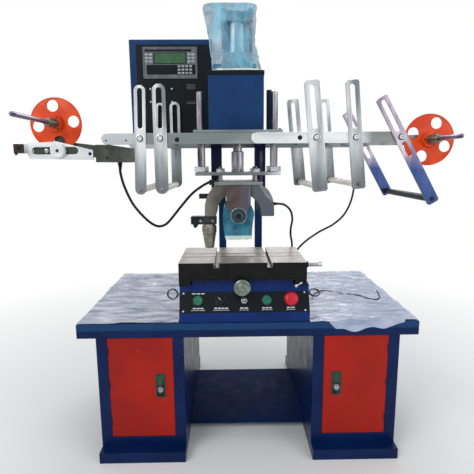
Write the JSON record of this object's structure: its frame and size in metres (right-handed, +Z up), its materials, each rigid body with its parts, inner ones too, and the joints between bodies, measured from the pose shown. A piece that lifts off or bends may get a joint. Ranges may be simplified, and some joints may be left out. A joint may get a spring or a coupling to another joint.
{
  "type": "roller heat transfer machine",
  "caption": "Pneumatic roller heat-transfer press on a two-pedestal steel bench: sprung film guides, end reels, heated roller over a T-slot work table with a control console.",
  "frame": {"origin": "on the floor, under the middle of the machine's bounding box", "axes": "+Z up; the operator stands on the -Y side; the reels stand out along +X and -X"},
  "size_m": [1.94, 0.828, 1.7098],
  "materials": {
    "arm_bracket_left": "as cast, machined faces",
    "arm_bracket_right": "as cast, machined faces",
    "arm_knob": "moulded white",
    "bearing_plate_front": "as cast, machined faces",
    "bearing_plate_rear": "as cast, machined faces",
    "cable_left": "black sheath",
    "cable_right": "black sheath",
    "carriage_plate": "ground",
    "column_frame": "dark blue paint",
    "console_box": "gloss paint",
    "console_panel": "matt black",
    "control_cabinet": "gloss paint",
    "cross_beam_front": "milled, polished",
    "cross_beam_rear": "milled, polished",
    "cylinder_bag": "thin blue film",
    "desk_film": "clear film",
    "desk_top": "gloss paint",
    "desk_wire": "black sheath",
    "display_unit": "matt black",
    "door_left": "orange-red gloss paint",
    "door_right": "orange-red gloss paint",
    "feed_screw": "hard chrome",
    "foot_shelf": "gloss paint",
    "guide_frame_left_inner": "milled, polished",
    "guide_frame_left_outer": "milled, polished",
    "guide_frame_right_inner": "milled, polished",
    "guide_frame_right_middle": "milled, polished",
    "guide_frame_right_outer": "milled, polished",
    "guide_rod_left": "hard chrome",
    "guide_rod_right": "hard chrome",
    "guide_roller_left_inner": "hard chrome",
    "guide_roller_left_outer": "hard chrome",
    "guide_roller_right_inner": "hard chrome",
    "guide_roller_right_middle": "hard chrome",
    "guide_roller_right_outer": "hard chrome",
    "handwheel": "hard chrome",
    "head_housing": "gloss paint",
    "head_plate": "ground",
    "heating_hood": "as cast, heat darkened",
    "hood_cable": "black sheath",
    "hot_air_nozzle": "as cast, machined faces",
    "lock_left": "hard chrome",
    "lock_right": "hard chrome",
    "pedestal_left": "gloss paint",
    "pedestal_right": "gloss paint",
    "piston_rod": "hard chrome",
    "press_cylinder": "milled, polished",
    "press_roller": "silicone cover",
    "reel_left": "moulded orange",
    "reel_right": "moulded orange",
    "roller_wrap": "thin teal film",
    "saddle_block": "black paint",
    "selector_knob": "matt black",
    "side_bar_right": "milled, polished",
    "slide_arm": "milled, polished",
    "start_button_left": "moulded green",
    "start_button_right": "moulded green",
    "stop_button": "moulded red",
    "toggle_lever": "hard chrome",
    "worktable": "black paint"
  },
  "bodies": {
    "machine_frame": {"pedestal_left": "pedestal_left", "pedestal_right": "pedestal_right", "desk_top": "desk_top", "foot_shelf": "foot_shelf", "desk_film": "desk_film", "console_box": "console_box", "console_panel": "console_panel", "column_frame": "column_frame", "head_plate": "head_plate", "head_housing": "head_housing", "control_cabinet": "control_cabinet", "display_unit": "display_unit", "press_cylinder": "press_cylinder", "cylinder_bag": "cylinder_bag", "cross_beam_front": "cross_beam_front", "cross_beam_rear": "cross_beam_rear", "side_bar_right": "side_bar_right", "arm_bracket_left": "arm_bracket_left", "arm_bracket_right": "arm_bracket_right", "cable_left": "cable_left", "cable_right": "cable_right", "hood_cable": "hood_cable", "desk_wire": "desk_wire"},
    "carriage": {"piston_rod": "piston_rod", "guide_rod_left": "guide_rod_left", "guide_rod_right": "guide_rod_right", "carriage_plate": "carriage_plate", "heating_hood": "heating_hood", "bearing_plate_front": "bearing_plate_front", "bearing_plate_rear": "bearing_plate_rear", "roller_wrap": "roller_wrap", "hot_air_nozzle": "hot_air_nozzle"},
    "roller": {"press_roller": "press_roller"},
    "door_left": {"door_left": "door_left"},
    "door_right": {"door_right": "door_right"},
    "lock_left": {"lock_left": "lock_left"},
    "lock_right": {"lock_right": "lock_right"},
    "saddle": {"saddle_block": "saddle_block"},
    "worktable": {"worktable": "worktable"},
    "feed_screw": {"feed_screw": "feed_screw"},
    "handwheel": {"handwheel": "handwheel"},
    "start_button_left": {"start_button_left": "start_button_left"},
    "start_button_right": {"start_button_right": "start_button_right"},
    "stop_button": {"stop_button": "stop_button"},
    "selector_knob": {"selector_knob": "selector_knob"},
    "toggle_lever": {"toggle_lever": "toggle_lever"},
    "slide_arm": {"slide_arm": "slide_arm"},
    "arm_knob": {"arm_knob": "arm_knob"},
    "reel_left": {"reel_left": "reel_left"},
    "reel_right": {"reel_right": "reel_right"},
    "guide_frame_left_outer": {"guide_frame_left_outer": "guide_frame_left_outer"},
    "guide_roller_left_outer": {"guide_roller_left_outer": "guide_roller_left_outer"},
    "guide_frame_left_inner": {"guide_frame_left_inner": "guide_frame_left_inner"},
    "guide_roller_left_inner": {"guide_roller_left_inner": "guide_roller_left_inner"},
    "guide_frame_right_inner": {"guide_frame_right_inner": "guide_frame_right_inner"},
    "guide_roller_right_inner": {"guide_roller_right_inner": "guide_roller_right_inner"},
    "guide_frame_right_middle": {"guide_frame_right_middle": "guide_frame_right_middle"},
    "guide_roller_right_middle": {"guide_roller_right_middle": "guide_roller_right_middle"},
    "guide_frame_right_outer": {"guide_frame_right_outer": "guide_frame_right_outer"},
    "guide_roller_right_outer": {"guide_roller_right_outer": "guide_roller_right_outer"}
  },
  "joints": [
    {"name": "press_slide", "type": "slide", "parent": "machine_frame", "child": "carriage", "axis": [0, 0, -1], "range_m": [0, 0.04]},
    {"name": "roller_spin", "type": "hinge", "parent": "carriage", "child": "roller", "pos_m": [-0.034, -0.18, 0.95], "axis": [0, 1, 0], "continuous": true},
    {"name": "door_left_hinge", "type": "hinge", "parent": "machine_frame", "child": "door_left", "pos_m": [-0.5372, -0.3677, 0.288], "axis": [0, 0, -1], "range_deg": [0, 110]},
    {"name": "door_right_hinge", "type": "hinge", "parent": "machine_frame", "child": "door_right", "pos_m": [0.5372, -0.3677, 0.288], "axis": [0, 0, 1], "range_deg": [0, 110]},
    {"name": "lock_left_turn", "type": "hinge", "parent": "door_left", "child": "lock_left", "pos_m": [-0.341, -0.3677, 0.283], "axis": [0, 1, 0], "range_deg": [0, 90]},
    {"name": "lock_right_turn", "type": "hinge", "parent": "door_right", "child": "lock_right", "pos_m": [0.341, -0.3677, 0.283], "axis": [0, 1, 0], "range_deg": [0, 90]},
    {"name": "start_button_left_press", "type": "slide", "parent": "machine_frame", "child": "start_button_left", "axis": [0, 0.8969, -0.4423], "range_m": [0, 0.003], "stiffness_N_per_m": 600, "springref_m": -0.002},
    {"name": "start_button_right_press", "type": "slide", "parent": "machine_frame", "child": "start_button_right", "axis": [0, 0.8969, -0.4423], "range_m": [0, 0.003], "stiffness_N_per_m": 600, "springref_m": -0.002},
    {"name": "stop_button_press", "type": "slide", "parent": "machine_frame", "child": "stop_button", "axis": [0, 0.8969, -0.4423], "range_m": [0, 0.003], "stiffness_N_per_m": 600, "springref_m": -0.002},
    {"name": "selector_turn", "type": "hinge", "parent": "machine_frame", "child": "selector_knob", "pos_m": [-0.104, -0.34548, 0.62861], "axis": [0, -0.8969, 0.4423], "range_deg": [-45, 45]},
    {"name": "toggle_tip", "type": "hinge", "parent": "machine_frame", "child": "toggle_lever", "pos_m": [-0.0155, -0.34548, 0.62861], "axis": [1, 0, 0], "range_deg": [-18, 18]},
    {"name": "saddle_slide", "type": "slide", "parent": "machine_frame", "child": "saddle", "axis": [0, 1, 0], "range_m": [-0.015, 0.015]},
    {"name": "handwheel_turn", "type": "hinge", "parent": "machine_frame", "child": "handwheel", "pos_m": [-0.024, -0.33, 0.69], "axis": [0, 1, 0], "range_deg": [-1360, 1360]},
    {"name": "table_slide", "type": "slide", "parent": "saddle", "child": "worktable", "axis": [1, 0, 0], "range_m": [-0.06, 0.06]},
    {"name": "feed_screw_turn", "type": "hinge", "parent": "worktable", "child": "feed_screw", "pos_m": [0.2205, -0.2, 0.7326], "axis": [1, 0, 0], "range_deg": [-4330, 4330]},
    {"name": "guide_frame_left_outer_swing", "type": "hinge", "parent": "machine_frame", "child": "guide_frame_left_outer", "pos_m": [-0.389, -0.09, 1.2332], "axis": [0, 1, 0], "range_deg": [-6, 6]},
    {"name": "guide_roller_left_outer_spin", "type": "hinge", "parent": "guide_frame_left_outer", "child": "guide_roller_left_outer", "pos_m": [-0.39485, -0.09, 1.04719], "axis": [0, 1, 0], "continuous": true},
    {"name": "guide_frame_left_inner_swing", "type": "hinge", "parent": "machine_frame", "child": "guide_frame_left_inner", "pos_m": [-0.3163, -0.09, 1.2332], "axis": [0, 1, 0], "range_deg": [-6, 6]},
    {"name": "guide_roller_left_inner_spin", "type": "hinge", "parent": "guide_frame_left_inner", "child": "guide_roller_left_inner", "pos_m": [-0.3163, -0.09, 1.0491], "axis": [0, 1, 0], "continuous": true},
    {"name": "guide_frame_right_inner_swing", "type": "hinge", "parent": "machine_frame", "child": "guide_frame_right_inner", "pos_m": [0.248, -0.09, 1.2332], "axis": [0, 1, 0], "range_deg": [-6, 6]},
    {"name": "guide_roller_right_inner_spin", "type": "hinge", "parent": "guide_frame_right_inner", "child": "guide_roller_right_inner", "pos_m": [0.26672, -0.09, 1.05508], "axis": [0, 1, 0], "continuous": true},
    {"name": "guide_frame_right_middle_swing", "type": "hinge", "parent": "machine_frame", "child": "guide_frame_right_middle", "pos_m": [0.3917, -0.09, 1.2332], "axis": [0, 1, 0], "range_deg": [-6, 6]},
    {"name": "guide_roller_right_middle_spin", "type": "hinge", "parent": "guide_frame_right_middle", "child": "guide_roller_right_middle", "pos_m": [0.40948, -0.09, 1.06403], "axis": [0, 1, 0], "continuous": true},
    {"name": "guide_frame_right_outer_swing", "type": "hinge", "parent": "machine_frame", "child": "guide_frame_right_outer", "pos_m": [0.5567, -0.09, 1.2332], "axis": [0, 1, 0], "range_deg": [0, 30]},
    {"name": "guide_roller_right_outer_spin", "type": "hinge", "parent": "guide_frame_right_outer", "child": "guide_roller_right_outer", "pos_m": [0.68468, -0.09, 1.00791], "axis": [0, 1, 0], "continuous": true},
    {"name": "slide_arm_shift", "type": "slide", "parent": "machine_frame", "child": "slide_arm", "axis": [1, 0, 0], "range_m": [-0.04, 0.04]},
    {"name": "arm_knob_turn", "type": "hinge", "parent": "machine_frame", "child": "arm_knob", "pos_m": [-0.683, -0.3136, 1.192], "axis": [0, 1, 0], "range_deg": [0, 360]},
    {"name": "reel_left_spin", "type": "hinge", "parent": "machine_frame", "child": "reel_left", "pos_m": [-0.853, -0.1, 1.325], "axis": [0, 1, 0], "continuous": true},
    {"name": "reel_right_spin", "type": "hinge", "parent": "machine_frame", "child": "reel_right", "pos_m": [0.853, -0.1, 1.244], "axis": [0, 1, 0], "continuous": true}
  ],
  "couplings": [
    {"joint": "handwheel_turn", "follows": "saddle_slide", "rad_per_m": 1570.8},
    {"joint": "feed_screw_turn", "follows": "table_slide", "rad_per_m": 1256.6}
  ]
}
